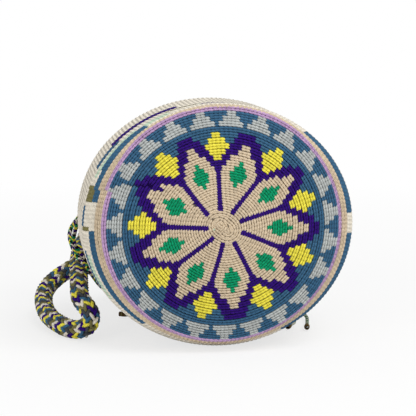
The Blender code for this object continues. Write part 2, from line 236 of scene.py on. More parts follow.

# %% [markdown]
# ## The cords' routes
#
# A cord has a real length, so its way is settled before its looks. The strap leaves a fold of the
# frill on the left, comes down beside the bag, makes the loop that shows in front, and goes back
# behind the bag to the fold on the other side. The drawstring runs round the neck in and out of
# the folds, and both of its ends come down on the left and lie under the swell of the bag. The
# points are listed, and a smooth curve is drawn through them.

# %% The routes' points, in metres
STRAP_DIAMETER = 0.019
STRING_DIAMETER = 0.0045
TAIL_DIAMETER = 0.0035
KNOT_RADIUS = 0.0065
TIP_DIAMETER = 0.0062
TIP_LENGTH = 0.010
GAP = 0.0003
SLEEVE_START = 0.005
SLEEVE_LENGTH = 0.026
SLEEVE_CLEARANCE = 0.0010
SLEEVE_WALL = 0.0018
STRAP_RUN_OUT = 0.012             # how far the strap goes straight on past its binding
STRING_RUN_OUT = 0.055            # radians from the valley's middle to each end of the string
STRING_OUTSIDE = 0.007            # how far the string stands off the neck there
STRING_IN_VALLEY = 0.0012
STRING_TURNS = 36
STRAP_SPACING, STRING_SPACING = 0.004, 0.003
LEFT_CREST, RIGHT_CREST, STRING_VALLEY = 4, 9, 4.5     # folds, counted from the right

STRAP_ROUTE = [
    (-0.0870, 0.158, 0.1680), (-0.0950, 0.178, 0.1520), (-0.1050, 0.184, 0.1270), (-0.1150, 0.172, 0.1020),
    (-0.1230, 0.148, 0.0860), (-0.1303, 0.118, 0.0770), (-0.1364, 0.086, 0.0695), (-0.1392, 0.053, 0.0631),
    (-0.1405, 0.021, 0.0580), (-0.1415, -0.005, 0.0517), (-0.1419, -0.022, 0.0452), (-0.1405, -0.031, 0.0404),
    (-0.1358, -0.037, 0.0352), (-0.1319, -0.042, 0.0281), (-0.1325, -0.043, 0.0196), (-0.1381, -0.040, 0.0129),
    (-0.1463, -0.034, 0.0102), (-0.1547, -0.025, 0.0102), (-0.1635, -0.008, 0.0113), (-0.1716, 0.016, 0.0130),
    (-0.1765, 0.044, 0.0164), (-0.1775, 0.072, 0.0212), (-0.1756, 0.093, 0.0260), (-0.1703, 0.107, 0.0315),
    (-0.1627, 0.116, 0.0367), (-0.1533, 0.123, 0.0420), (-0.1415, 0.130, 0.0468),
    (-0.1260, 0.142, 0.0470), (-0.1040, 0.164, 0.0370), (-0.0780, 0.188, 0.0215), (-0.0480, 0.212, 0.0105),
    (-0.0100, 0.232, 0.0098), (0.0300, 0.240, 0.0098), (0.0680, 0.232, 0.0105), (0.0900, 0.208, 0.0150),
    (0.0965, 0.180, 0.0290)]
STRING_ROUTE_A = [
    (-0.0780, 0.103, 0.1410), (-0.1040, 0.087, 0.1400), (-0.1240, 0.066, 0.1310), (-0.1345, 0.052, 0.1225),
    (-0.1398, 0.043, 0.1171), (-0.1468, 0.033, 0.1098), (-0.1498, 0.025, 0.1011), (-0.1476, 0.018, 0.0912),
    (-0.1440, 0.013, 0.0821), (-0.1374, 0.011, 0.0746), (-0.1321, 0.011, 0.0691), (-0.1262, 0.014, 0.0590),
    (-0.1170, 0.020, 0.0460), (-0.1040, 0.036, 0.0330), (-0.0900, 0.054, 0.0190), (-0.0770, 0.068, 0.0100),
    (-0.0650, 0.078, 0.0070)]
STRING_ROUTE_B = [
    (-0.0780, 0.103, 0.1340), (-0.1040, 0.092, 0.1310), (-0.1220, 0.078, 0.1230), (-0.1335, 0.064, 0.1175),
    (-0.1390, 0.055, 0.1140), (-0.1408, 0.047, 0.1095), (-0.1439, 0.039, 0.1011), (-0.1451, 0.031, 0.0946),
    (-0.1411, 0.022, 0.0851), (-0.1361, 0.017, 0.0783), (-0.1308, 0.017, 0.0707), (-0.1250, 0.020, 0.0610),
    (-0.1165, 0.027, 0.0480), (-0.1040, 0.043, 0.0340), (-0.0900, 0.061, 0.0200), (-0.0740, 0.080, 0.0080),
    (-0.0560, 0.096, 0.0026), (-0.0300, 0.108, 0.0026), (0.0100, 0.108, 0.0026), (0.0500, 0.092, 0.0026),
    (0.0850, 0.070, 0.0045), (0.1040, 0.052, 0.0070)]
TAIL_ROUTES = {
    "left_1": [(-0.0590, 0.0690, 0.0032), (-0.0700, 0.0640, 0.0028), (-0.0835, 0.0690, 0.0034)],
    "left_2": [(-0.0500, 0.0770, 0.0032), (-0.0430, 0.0680, 0.0028), (-0.0400, 0.0580, 0.0034)],
    "right_1": [(0.0990, 0.0310, 0.0035), (0.0950, 0.0080, 0.0024), (0.0865, -0.0110, 0.0034)],
    "right_2": [(0.1125, 0.0270, 0.0035), (0.1090, 0.0060, 0.0024), (0.1045, -0.0160, 0.0034)]}


# %% From a route's points to a smooth line
def smooth_path(points, spacing):
    """Evenly spaced points on a smooth curve through a route's points."""
    route = [Vector(p) for p in points]
    route = [2 * route[0] - route[1]] + route + [2 * route[-1] - route[-2]]
    steps = 24
    fine = []
    for a, b, c, d in zip(route, route[1:], route[2:], route[3:]):
        for k in range(steps):
            t = k / steps
            fine.append(0.5 * (2 * b + (c - a) * t + (2 * a - 5 * b + 4 * c - d) * t ** 2
                               + (3 * b - a - 3 * c + d) * t ** 3))
    fine.append(route[-2])
    fine = np.array(fine)
    walked = np.concatenate([[0], np.cumsum(np.linalg.norm(np.diff(fine, axis=0), axis=1))])
    goals = np.linspace(0, walked[-1], max(2, round(walked[-1] / spacing)) + 1)
    return [Vector([float(np.interp(goal, walked, fine[:, axis])) for axis in range(3)]) for goal in goals]


def length_of(path):
    return sum((b - a).length for a, b in zip(path, path[1:]))


def neck_point(radius, turn, depth=NECK_DEPTH):
    """A point around the neck's axis."""
    return Vector((radius * math.cos(turn), BASE_EDGE_Y + depth, NECK_HEIGHT + radius * math.sin(turn)))


def crest_place(fold, along):
    """A place on the line of a strap's end, which lies along a fold of the frill."""
    off = STRAP_DIAMETER / 2 + SLEEVE_CLEARANCE + SLEEVE_WALL + GAP
    radius = NECK_RADIUS + FOLD_DEPTH + FRILL_SLANT.x * along + FRILL_SLANT.y * off
    depth = NECK_DEPTH + FRILL_SLANT.y * along - FRILL_SLANT.x * off
    return neck_point(radius, 2 * math.pi * fold / FOLDS, depth)


def string_ring():
    """The drawstring's way round the neck, with the first point of both ends."""
    fold = 2 * math.pi / FOLDS
    valley = STRING_VALLEY * fold
    all_round = 2 * math.pi - fold / 2
    turns = [valley - fold / 4 - all_round * k / STRING_TURNS for k in range(STRING_TURNS + 1)]
    ends = [[neck_point(NECK_RADIUS + STRING_OUTSIDE, valley + side * STRING_RUN_OUT),
             neck_point(NECK_RADIUS + STRING_IN_VALLEY, valley + side * fold / 6)] for side in (-1, 1)]
    return ends[0] + [neck_point(NECK_RADIUS, turn) for turn in turns] + ends[1][::-1]


held = (0, SLEEVE_LENGTH / 2, SLEEVE_LENGTH, SLEEVE_LENGTH + STRAP_RUN_OUT)
held = [SLEEVE_START + further for further in held]
strap_points = ([crest_place(LEFT_CREST, along) for along in held] + STRAP_ROUTE
                + [crest_place(RIGHT_CREST, along) for along in reversed(held)])
string_points = STRING_ROUTE_A[::-1] + string_ring() + STRING_ROUTE_B
for label, points, spacing in (("strap", strap_points, STRAP_SPACING),
                               ("drawstring", string_points, STRING_SPACING)):
    print("the", label, "is", round(length_of(smooth_path(points, spacing)), 3), "m long")

# %% [markdown]
# ## Yarn
#
# Mercerised cotton and acrylic yarn are matt, with a faint sheen where the fibres stand off the
# thread. Each thread is twisted from plies, which shows as fine slanting grooves, bumped and darkened
# with painted shade, and no two stitches take the dye quite alike. Those three things are one shader
# group. Each material gives it a colour of its own and keeps its own Principled BSDF. The grooves
# follow each strand through an attribute that the strand carries, so they turn with it.


# %% The yarn group
def new_node(tree, kind, **settings):
    """A node of any tree, with its settings."""
    node = tree.nodes.new(kind)
    for key, value in settings.items():
        setattr(node, key, value)
    return node


def math_node(tree, operation, *values):
    """A Math node whose inputs are numbers or sockets."""
    node = new_node(tree, "ShaderNodeMath", operation=operation)
    for socket, value in zip(node.inputs, values):
        if isinstance(value, (int, float)):
            socket.default_value = value
        else:
            tree.links.new(value, socket)
    return node.outputs[0]


def yarn_group():
    """Colour, roughness and normal of a twisted thread, made once and used by every yarn."""
    tree = bpy.data.node_groups.new("yarn", "ShaderNodeTree")
    for name, kind, value in (("Colour", "NodeSocketColor", (0.5, 0.5, 0.5, 1)),
                              ("Plies", "NodeSocketFloat", 2.0),
                              ("Unevenness", "NodeSocketFloat", 0.16),
                              ("Painted Groove Shade", "NodeSocketFloat", 0.25)):
        tree.interface.new_socket(name, in_out="INPUT", socket_type=kind).default_value = value
    for name, kind in (("Colour", "NodeSocketColor"), ("Roughness", "NodeSocketFloat"),
                       ("Normal", "NodeSocketVector")):
        tree.interface.new_socket(name, in_out="OUTPUT", socket_type=kind)
    given = new_node(tree, "NodeGroupInput")
    made = new_node(tree, "NodeGroupOutput")
    place = new_node(tree, "ShaderNodeTexCoord").outputs["Object"]

    ply = new_node(tree, "ShaderNodeAttribute", attribute_name="ply")
    split = new_node(tree, "ShaderNodeSeparateXYZ")
    tree.links.new(ply.outputs["Vector"], split.inputs[0])
    plies = math_node(tree, "MULTIPLY", split.outputs[1], given.outputs["Plies"])
    twist = math_node(tree, "ADD", split.outputs[0], plies)
    wave = math_node(tree, "SINE", math_node(tree, "MULTIPLY", twist, 2 * math.pi))
    ridge = math_node(tree, "ABSOLUTE", wave)

    fibres, patches = new_node(tree, "ShaderNodeTexNoise"), new_node(tree, "ShaderNodeTexNoise")
    for noise, scale, detail in ((fibres, 1400, 3), (patches, 55, 2)):
        noise.inputs["Scale"].default_value = scale
        noise.inputs["Detail"].default_value = detail
        tree.links.new(place, noise.inputs["Vector"])

    shade = new_node(tree, "ShaderNodeAttribute", attribute_name="shade")
    change = math_node(tree, "ADD", shade.outputs["Fac"], patches.outputs["Fac"])
    change = math_node(tree, "SUBTRACT", change, 1.0)
    brightness = math_node(tree, "MULTIPLY_ADD", change, given.outputs["Unevenness"], 1.0)
    # painted shade: the colour is darker in the grooves between the plies
    between = math_node(tree, "SUBTRACT", 1.0, ridge)
    groove_painted_shade = math_node(tree, "MULTIPLY", between, given.outputs["Painted Groove Shade"])
    kept = math_node(tree, "MULTIPLY", brightness, math_node(tree, "SUBTRACT", 1.0, groove_painted_shade))
    tint = new_node(tree, "ShaderNodeVectorMath", operation="SCALE")
    tree.links.new(given.outputs["Colour"], tint.inputs[0])
    tree.links.new(kept, tint.inputs["Scale"])
    tree.links.new(tint.outputs["Vector"], made.inputs["Colour"])

    rough = math_node(tree, "ADD", 0.78, math_node(tree, "MULTIPLY", fibres.outputs["Fac"], 0.2))
    tree.links.new(rough, made.inputs["Roughness"])
    bump = new_node(tree, "ShaderNodeBump")
    bump.inputs["Strength"].default_value = 0.6
    bump.inputs["Distance"].default_value = 0.0004
    height = math_node(tree, "ADD", ridge, math_node(tree, "MULTIPLY", fibres.outputs["Fac"], 0.8))
    tree.links.new(height, bump.inputs["Height"])
    tree.links.new(bump.outputs["Normal"], made.inputs["Normal"])
    return tree


YARN_GROUP = yarn_group()
print("the yarn group has", len(YARN_GROUP.nodes), "nodes")

# %% [markdown]
# ## The colours
#
# The colours are read off the bag as a display shows them, so they are turned into the linear
# values that a shader works with. One material is made for each yarn, and its number in the list
# is what a stitch carries as its colour.

# %% One material for each yarn
YARNS = {
    "beige": (216, 197, 169), "purple": (48, 10, 116), "green": (4, 152, 104), "yellow": (240, 228, 80),
    "blue": (60, 102, 134), "grey": (186, 190, 188), "lilac": (190, 156, 196),
    "cream": (234, 226, 210), "olive": (126, 120, 76), "mint": (196, 216, 192), "charcoal": (74, 76, 80),
    "brown": (104, 78, 44), "black": (26, 22, 30)}
YARN_NUMBER = {name: number for number, name in enumerate(YARNS)}


def linear(display):
    """A shader's colour from 0 to 255 display values."""
    return [(c / 255 / 12.92) if c <= 10 else ((c / 255 + 0.055) / 1.055) ** 2.4 for c in display] + [1]


def yarn_material(name):
    """The material of one yarn."""
    material = bpy.data.materials.new("yarn_" + name)
    material.use_nodes = True
    tree = material.node_tree
    shader = tree.nodes["Principled BSDF"]
    thread = new_node(tree, "ShaderNodeGroup", node_tree=YARN_GROUP)
    thread.inputs["Colour"].default_value = linear(YARNS[name])
    for output, socket in (("Colour", "Base Color"), ("Roughness", "Roughness"), ("Normal", "Normal")):
        tree.links.new(thread.outputs[output], shader.inputs[socket])
    shader.inputs["Sheen Weight"].default_value = 0.03
    shader.inputs["Sheen Roughness"].default_value = 0.5
    shader.inputs["Specular IOR Level"].default_value = 0.12
    return material


YARN_MATERIALS = [yarn_material(name) for name in YARNS]
print(len(YARN_MATERIALS), "yarns")

# %% [markdown]
# ## Laying yarn with Geometry Nodes
#
# The bag's many thousands of stitches are copies of one small shape. One node tree lays them: it
# puts a copy on every point that it is given, turns it so that its X runs along the yarn and its Z
# stands off the surface, gives it a slightly uneven set, and realises the copies into one mesh. It
# then gives each copy the yarn that its point asks for. The same tree lays the lumps of the braids
# and the turns of the wrapped ends later on.


# %% The tree that lays yarn
def laying_tree():
    """Lays a copy of one shape on every point, in the way, the size and the yarn that the point states."""
    tree = bpy.data.node_groups.new("lay_yarn", "GeometryNodeTree")
    sockets = [("Points", "NodeSocketGeometry", None), ("Shape", "NodeSocketObject", None),
               ("Thickness", "NodeSocketFloat", 1.0), ("Uneven Turn", "NodeSocketFloat", 0.05),
               ("Uneven Size", "NodeSocketFloat", 0.05), ("Seed", "NodeSocketInt", 1)]
    for name, kind, value in sockets:
        socket = tree.interface.new_socket(name, in_out="INPUT", socket_type=kind)
        if value is not None:
            socket.default_value = value
    tree.interface.new_socket("Yarn", in_out="OUTPUT", socket_type="NodeSocketGeometry")
    link = tree.links.new
    given = new_node(tree, "NodeGroupInput")

    def attribute(name, kind):
        node = new_node(tree, "GeometryNodeInputNamedAttribute", data_type=kind)
        node.inputs["Name"].default_value = name
        return node.outputs["Attribute"]

    def random(low, high, seed_shift):
        node = new_node(tree, "FunctionNodeRandomValue", data_type="FLOAT")
        used = [socket for socket in node.inputs if socket.enabled]
        for socket, value in zip(used[:2], (low, high)):
            if isinstance(value, bpy.types.NodeSocket):
                link(value, socket)
            else:
                socket.default_value = value
        seed = new_node(tree, "FunctionNodeIntegerMath")
        seed.inputs[1].default_value = seed_shift
        link(given.outputs["Seed"], seed.inputs[0])
        link(seed.outputs[0], node.inputs["Seed"])
        return next(socket for socket in node.outputs if socket.enabled)

    shape = new_node(tree, "GeometryNodeObjectInfo")
    link(given.outputs["Shape"], shape.inputs["Object"])
    along = new_node(tree, "FunctionNodeAlignRotationToVector", axis="X")
    link(attribute("along", "FLOAT_VECTOR"), along.inputs["Vector"])
    outward = new_node(tree, "FunctionNodeAlignRotationToVector", axis="Z", pivot_axis="X")
    link(along.outputs[0], outward.inputs["Rotation"])
    link(attribute("outward", "FLOAT_VECTOR"), outward.inputs["Vector"])

    def spread(name, seed_shift):
        """A random number between minus the named input and plus it."""
        most = given.outputs[name]
        return random(math_node(tree, "MULTIPLY", most, -1), most, seed_shift)

    turn_vector = new_node(tree, "ShaderNodeCombineXYZ")
    link(spread("Uneven Turn", 1), turn_vector.inputs["Z"])
    turn = new_node(tree, "FunctionNodeEulerToRotation")
    link(turn_vector.outputs[0], turn.inputs[0])
    uneven = new_node(tree, "FunctionNodeRotateRotation", rotation_space="LOCAL")
    link(outward.outputs[0], uneven.inputs["Rotation"])
    link(turn.outputs[0], uneven.inputs["Rotate By"])

    factor = math_node(tree, "ADD", spread("Uneven Size", 2), given.outputs["Thickness"])
    across = new_node(tree, "ShaderNodeCombineXYZ")
    across.inputs["X"].default_value = 1
    link(factor, across.inputs["Y"])
    link(factor, across.inputs["Z"])
    size = new_node(tree, "ShaderNodeVectorMath", operation="MULTIPLY")
    link(attribute("size", "FLOAT_VECTOR"), size.inputs[0])
    link(across.outputs[0], size.inputs[1])

    laid = new_node(tree, "GeometryNodeInstanceOnPoints")
    link(given.outputs["Points"], laid.inputs["Points"])
    link(shape.outputs["Geometry"], laid.inputs["Instance"])
    link(uneven.outputs[0], laid.inputs["Rotation"])
    link(size.outputs[0], laid.inputs["Scale"])
    shade = new_node(tree, "GeometryNodeStoreNamedAttribute", data_type="FLOAT", domain="INSTANCE")
    shade.inputs["Name"].default_value = "shade"
    link(laid.outputs[0], shade.inputs["Geometry"])
    link(random(0.0, 1.0, 3), shade.inputs["Value"])
    real = new_node(tree, "GeometryNodeRealizeInstances")
    link(shade.outputs[0], real.inputs[0])

    dyed = real.outputs[0]
    colour = attribute("yarn", "INT")
    for number, material in enumerate(YARN_MATERIALS):
        chosen = new_node(tree, "FunctionNodeCompare", data_type="INT", operation="EQUAL")
        used = [socket for socket in chosen.inputs if socket.enabled]
        link(colour, used[0])
        used[1].default_value = number
        dye = new_node(tree, "GeometryNodeSetMaterial")
        dye.inputs["Material"].default_value = material
        link(dyed, dye.inputs["Geometry"])
        link(chosen.outputs[0], dye.inputs["Selection"])
        dyed = dye.outputs[0]
    link(dyed, new_node(tree, "NodeGroupOutput").inputs[0])
    return tree


LAYING_TREE = laying_tree()
print("the laying tree has", len(LAYING_TREE.nodes), "nodes")


# %% Points that carry their own directions
class Points:
    """Places for pieces of yarn, each with its direction, its way out, its size and its yarn."""

    def __init__(self):
        self.rows = []

    def add(self, place, along, outward, size, yarn):
        self.rows.append((*place, *along.normalized(), *outward, *size, YARN_NUMBER[yarn]))

    def lay(self, name, shape, thickness=1.0, uneven_turn=0.05, uneven_size=0.05, seed=1):
        """Runs the tree over the points and returns the yarn as one plain mesh."""
        table = np.array(self.rows, dtype=np.float32)
        mesh = bpy.data.meshes.new(name)
        mesh.vertices.add(len(table))
        mesh.vertices.foreach_set("co", table[:, 0:3].ravel())
        for label, first in (("along", 3), ("outward", 6), ("size", 9)):
            stored = mesh.attributes.new(label, "FLOAT_VECTOR", "POINT")
            stored.data.foreach_set("vector", table[:, first:first + 3].ravel())
        stored = mesh.attributes.new("yarn", "INT", "POINT")
        stored.data.foreach_set("value", table[:, 12].astype(np.int32))
        points = bpy.data.objects.new(name + "_points", mesh)
        bpy.context.collection.objects.link(points)
        modifier = points.modifiers.new("lay", "NODES")
        modifier.node_group = LAYING_TREE
        identifiers = {item.name: item.identifier for item in LAYING_TREE.interface.items_tree
                       if item.in_out == "INPUT"}
        for label, value in (("Shape", shape), ("Thickness", thickness), ("Uneven Turn", uneven_turn),
                             ("Uneven Size", uneven_size), ("Seed", seed)):
            modifier[identifiers[label]] = value
        graph = bpy.context.evaluated_depsgraph_get()
        made = bpy.data.meshes.new_from_object(points.evaluated_get(graph), depsgraph=graph)
        made.name = name
        for label in ("along", "outward", "size", "yarn"):
            if label in made.attributes:
                made.attributes.remove(made.attributes[label])
        bpy.data.objects.remove(points)
        piece = bpy.data.objects.new(name, made)
        bpy.context.collection.objects.link(piece)
        print(name, "has", len(table), "pieces of yarn and", len(made.polygons), "faces")
        return piece


# %% [markdown]
# ## One stitch
#
# A tight single crochet shows two strands on its face, one above the other, and both run along
# the row with a slight slope. The strands of neighbouring stitches overlap, so a row reads as two
# ridges with small dark slits between them. The shape is made in shares of a stitch: one unit
# along is the stitch's width, and one unit across is the row's height. Its strands have few sides,
# because there are thousands of them, and smooth shading rounds them off.


# %% A strand, and shapes made of strands
def object_from(shape, name):
    """The finished shape as an object of its own, with its faces outward."""
    bmesh.ops.recalc_face_normals(shape, faces=shape.faces)
    mesh = bpy.data.meshes.new(name)
    shape.to_mesh(mesh)
    shape.free()
    made = bpy.data.objects.new(name, mesh)
    bpy.context.collection.objects.link(made)
    print(name, "has", len(mesh.polygons), "faces")
    return made


STRAND_REACH = 0.86               # the end rings' place, as a share of half the strand


def add_strand(shape, ply, start, end, radii, sides, rings, sink=0.0):
    """A short thread with tapered ends; sink lets its ends dip below its middle."""
    start, end = Vector(start), Vector(end)
    loops = []
    for k in range(rings):
        t = STRAND_REACH * (2 * k / (rings - 1) - 1)
        full = math.sqrt(1 - abs(t) ** 3)
        centre = start.lerp(end, (t + 1) / 2) - Vector((0, 0, sink * t * t))
        loop = []
        for side in range(sides):
            angle = math.pi / 2 + 2 * math.pi * side / sides
            across, up = radii[0] * math.cos(angle), radii[1] * math.sin(angle)
            loop.append(shape.verts.new(centre + full * Vector((0, across, up))))
        loops.append(loop)
    dip = Vector((0, 0, sink))
    tips = shape.verts.new(start - dip), shape.verts.new(end - dip)

    def face(corners, along, around):
        made = shape.faces.new(corners)
        made.smooth = True
        for loop, u, v in zip(made.loops, along, around):
            loop[ply].uv = (u, v)

    for k in range(rings - 1):
        for side in range(sides):
            after = (side + 1) % sides
            face((loops[k][side], loops[k][after], loops[k + 1][after], loops[k + 1][side]),
                 (k / rings, k / rings, (k + 1) / rings, (k + 1) / rings),
                 (side / sides, (side + 1) / sides, (side + 1) / sides, side / sides))
    for side in range(sides):
        after = (side + 1) % sides
        low, high = side / sides, (side + 1) / sides
        face((tips[0], loops[0][after], loops[0][side]), (0, 0, 0), (0.5, high, low))
        face((tips[1], loops[-1][side], loops[-1][after]), (1, 1, 1), (0.5, low, high))


def shape_of_strands(name, strands, sides, rings):
    """An object that is copied, made of (start, end, radii, sink) strands."""
    shape = bmesh.new()
    ply = shape.loops.layers.uv.new("ply")
    for start, end, radii, sink in strands:
        add_strand(shape, ply, start, end, radii, sides, rings, sink)
    made = object_from(shape, name)
    made.hide_render = True
    return made


STITCH_STRANDS = [
    ((-0.74, -0.20, -0.29), (0.74, -0.31, -0.29), (0.27, 0.27), 0.06),
    ((-0.72, 0.30, -0.27), (0.72, 0.19, -0.27), (0.235, 0.25), 0.06)]
fine_stitch = shape_of_strands("fine_stitch", STITCH_STRANDS, sides=5, rings=4)
plain_stitch = shape_of_strands("plain_stitch", STITCH_STRANDS, sides=4, rings=3)

# %% [markdown]
# ## The chart
#
# A crocheter reads the pattern from a chart, row by row. Nine spokes part the beige middle into
# petals, each petal holds a green diamond, a purple outline closes it, and yellow diamonds fill
# the corners between the petals. Outside them a ring of grey stepped triangles stands on blue. The
# nine spokes start nearly even and drift apart on the real bag, because the maker spread the
# increases by feel, so their angles are listed for the inside and the outside. Every petal has the
# same number of stitches in a row, so the chart counts stitches from the nearest spoke, or from the
# middle of the petal. In the outer rows of the base, the place where a row begins moves, too.

# %% The base's chart
INNER_SPOKES = (20.4, 58.1, 98.7, 138.0, 178.8, 220.5, 264.2, 304.0, 344.5)   # degrees from the right
OUTER_SPOKES = (18.4, 52.9, 94.7, 130.2, 177.2, 216.7, 255.8, 299.5, 339.5)
INNER_SPOKES_ROW = 5              # where the spokes have their inner angles
SPOKE_FADE = 4.0                  # rows, over which they come near their outer angles
SPIRAL_START = math.radians(161)  # where the edge row begins
START_DRIFT = math.radians(2.0)   # each row before it begins this much earlier
DRIFT_ROWS = 10                   # but no more than this many rows back
STITCHES_PER_ROW = 7.3
WALL_STITCHES = 186
SPOKES_START = 4                  # the row where the petals part
PETAL_STITCHES = (3, 4, 5, 6, 7, 8, 8, 9, 11, 11, 12, 13, 14, 14, 15, 16)   # from that row on
LAST_SINGLE_ROW = 11              # up to here one stitch is a spoke, and then an even number is
SPOKE_SWELL = 1.30                # a stitch alone between two of another yarn spreads over them
GREEN_WIDTH = {9: 1, 10: 3, 11: 4, 12: 3, 13: 1}
YELLOW_REACH = {14: 1, 15: 2, 16: 3, 17: 2, 18: 1}      # stitches to each side of a spoke
PURPLE_REACH = {12: 1, 13: 2, 14: 3, 15: 5, 16: 6}
CAP_REACH = {17: 3, 18: 2}                              # stitches to each side of a petal's middle
BLUE_START = 17
TRIANGLE_ROWS = (20, 21, 22)
TRIANGLE_STITCHES = 161           # in each of these rows
TRIANGLE_PERIOD = 7
TRIANGLE_WIDTH = 6                # stitches in a triangle's first row, and two fewer in each next one
FIRST_TRIANGLE = math.radians(154.9)
EXTRA_STITCH = 77                 # the maker slipped in one blue stitch here
EDGE_ROW = 23


def in_petals(row):
    return SPOKES_START <= row < SPOKES_START + len(PETAL_STITCHES)


def stitches_in(row):
    """How many stitches a row has."""
    if in_petals(row):
        return len(OUTER_SPOKES) * PETAL_STITCHES[row - SPOKES_START]
    if row in TRIANGLE_ROWS:
        return TRIANGLE_STITCHES
    return min(max(6, round(STITCHES_PER_ROW * row)), WALL_STITCHES)


def spokes_of(row):
    """The angles of the nine spokes in a row, in degrees."""
    fade = math.exp((INNER_SPOKES_ROW - row) / SPOKE_FADE)
    return [outer + (inner - outer) * fade for inner, outer in zip(INNER_SPOKES, OUTER_SPOKES)]


def petal_at(row, angle):
    """The spokes before and behind an angle, in degrees, with the angle itself."""
    degrees = math.degrees(angle) % 360
    spokes = spokes_of(row)
    spokes = [spokes[-1] - 360, *spokes, spokes[0] + 360]
    before = max(spoke for spoke in spokes if spoke <= degrees)
    behind = min(spoke for spoke in spokes if spoke > degrees)
    return before, behind, degrees


def start_of(row):
    """The turn where a row begins."""
    return SPIRAL_START - START_DRIFT * min(max(0, EDGE_ROW - row), DRIFT_ROWS)


def turns_of(row):
    """The turns of a row's stitches, in order from where the row begins to where the next one does."""
    full = 2 * math.pi
    count = stitches_in(row)
    if in_petals(row):
        petal = count // len(OUTER_SPOKES)
        first = 0 if row <= LAST_SINGLE_ROW else 0.5
        spokes = spokes_of(row)
        turns = [math.radians(before + (behind - before) * (k + first) / petal)
                 for before, behind in zip(spokes, spokes[1:] + [spokes[0] + 360]) for k in range(petal)]
    else:
        begin = FIRST_TRIANGLE if row in TRIANGLE_ROWS else SPIRAL_START
        turns = [begin + full * (k + 0.5) / count for k in range(count)]
    start, end = start_of(row), start_of(row + 1) + full
    rounds = [start + (turn - start) % full + extra for turn in turns for extra in (0, full)]
    return sorted(turn for turn in rounds if turn < end)


def base_yarn(row, angle):
    """The yarn of a stitch on the base."""
    if row >= EDGE_ROW:
        return "lilac"
    if row in TRIANGLE_ROWS:
        stitch = math.floor((angle - FIRST_TRIANGLE) % (2 * math.pi) * TRIANGLE_STITCHES / (2 * math.pi))
        if stitch == TRIANGLE_STITCHES - 1:
            return "blue"
        stitch = (stitch - (stitch >= EXTRA_STITCH)) % TRIANGLE_PERIOD
        step = row - TRIANGLE_ROWS[0]
        return "grey" if step <= stitch < TRIANGLE_WIDTH - step else "blue"
    if not in_petals(row):
        return "beige"
    before, behind, degrees = petal_at(row, angle)
    petal = PETAL_STITCHES[row - SPOKES_START]
    counted = petal * (degrees - before) / (behind - before)
    from_spoke = min(counted, petal - counted)
    from_middle = petal / 2 - from_spoke
    if from_spoke < YELLOW_REACH.get(row, 0):
        return "yellow"
    if row >= BLUE_START:
        return "purple" if from_middle < CAP_REACH.get(row, 0) else "blue"
    if from_spoke < PURPLE_REACH.get(row, 0.5):
        return "purple"
    return "green" if from_middle < GREEN_WIDTH.get(row, 0) / 2 else "beige"


print("stitches in rows 4, 12 and 22:", stitches_in(4), stitches_in(12), stitches_in(22))

# %% [markdown]
# The wall carries the same kind of pattern, larger. Its first rows show from the front: a beige
# band, a broken ring of blue bars, and short olive, mint and purple dashes behind them. They are
# listed as marks, each with its rows and the part of the round that it fills. The rest is a plain
# traditional stepped diamond in the same yarns.

# %% The wall's chart
BEIGE_ROWS = 2
MARKS = (  # first row, last row, from and to in degrees, yarn
    (3, 5, 123.5, 152, "blue"), (3, 4, 152, 167.5, "blue"), (3, 4, 180, 233, "blue"),
    (8, 10, 242, 288, "blue"), (3, 6, 298, 357, "blue"), (3, 6, 7, 50, "blue"),
    (9, 10, 72, 85, "olive"), (9, 10, 100, 113, "olive"), (9, 11, 87, 97, "purple"),
    (9, 10, 97, 100, "mint"), (4, 6, 112, 123.5, "mint"), (6, 7, 128, 155, "mint"),
    (13, 16, 107, 139, "purple"), (5, 8, 160, 166, "olive"), (5, 8, 177.5, 181, "olive"),
    (8, 9, 168, 177.5, "blue"), (9, 13, 136, 152, "blue"), (8, 9, 190, 210, "blue"),
    (6, 7, 192, 216, "mint"), (9, 12, 228, 234, "olive"), (7, 9, 292, 300, "olive"),
    (9, 10, 318, 344, "blue"), (9, 10, 14, 40, "blue"))
MOTIFS = 6
FIRST_MOTIF = math.radians(28)
MOTIF_START = 26                  # rows behind the base's edge
MOTIF_HEIGHT = 20
MOTIF_SLOPE = 1.5                 # stitches that a diamond gains on each side in a row
BAND = 3                          # stitches in each of its outlines
BAR_HALF = 13                     # half of the blue bars between the rows of diamonds, in stitches
OLIVE_FROM = 13.5                 # stitches from a diamond's middle to the olive beside it
OLIVE_STEPS = 3                   # and how many rows from the motif's end the olive starts
FIRST_PLAIN_ROW = NECK_ROW - 4    # above it the wall has rings only
RING_EVERY = 5


def wall_yarn(row, angle):
    """The yarn of a stitch on the wall; rows count on from the base."""
    up = row - EDGE_ROW
    if up <= BEIGE_ROWS:
        return "beige"
    degrees = math.degrees(angle) % 360
    for first, last, low, high, yarn in MARKS:
        if first <= up <= last and low <= degrees <= high:
            return yarn
    if up < MOTIF_START:
        return "cream"
    if row > FIRST_PLAIN_ROW:
        return "blue" if (row - NECK_ROW) % RING_EVERY == 0 else "cream"
    period = (angle - FIRST_MOTIF) * MOTIFS / (2 * math.pi)
    from_centre = abs(period - round(period)) * WALL_STITCHES / MOTIFS
    stage = (up - MOTIF_START) % MOTIF_HEIGHT
    steps = min(stage, MOTIF_HEIGHT - 1 - stage)
    if steps < 2:
        return "blue" if stage < 2 and from_centre < BAR_HALF and up > MOTIF_START + 2 else "cream"
    edge = MOTIF_SLOPE * (steps - 1)
    if from_centre < edge - 2 * BAND:
        return "blue"
    if from_centre < edge - BAND:
        return "yellow" if steps % 2 else "green"
    if from_centre < edge:
        return "purple"
    return "olive" if from_centre > OLIVE_FROM and steps > OLIVE_STEPS else "cream"


def yarn_at(row, angle):
    return base_yarn(row, angle) if row <= EDGE_ROW else wall_yarn(row, angle)


# %% [markdown]
# ## Crocheting the bag
#
# The hook goes round and round without a seam. Each row starts where the one before it ended, one
# row height farther out, so the stitches sit on a spiral and the pattern has a small step where a
# row begins. A stitch's width is the row's length shared among its stitches, which squeezes them
# in the folds of the neck, as the gathers do on the real bag.

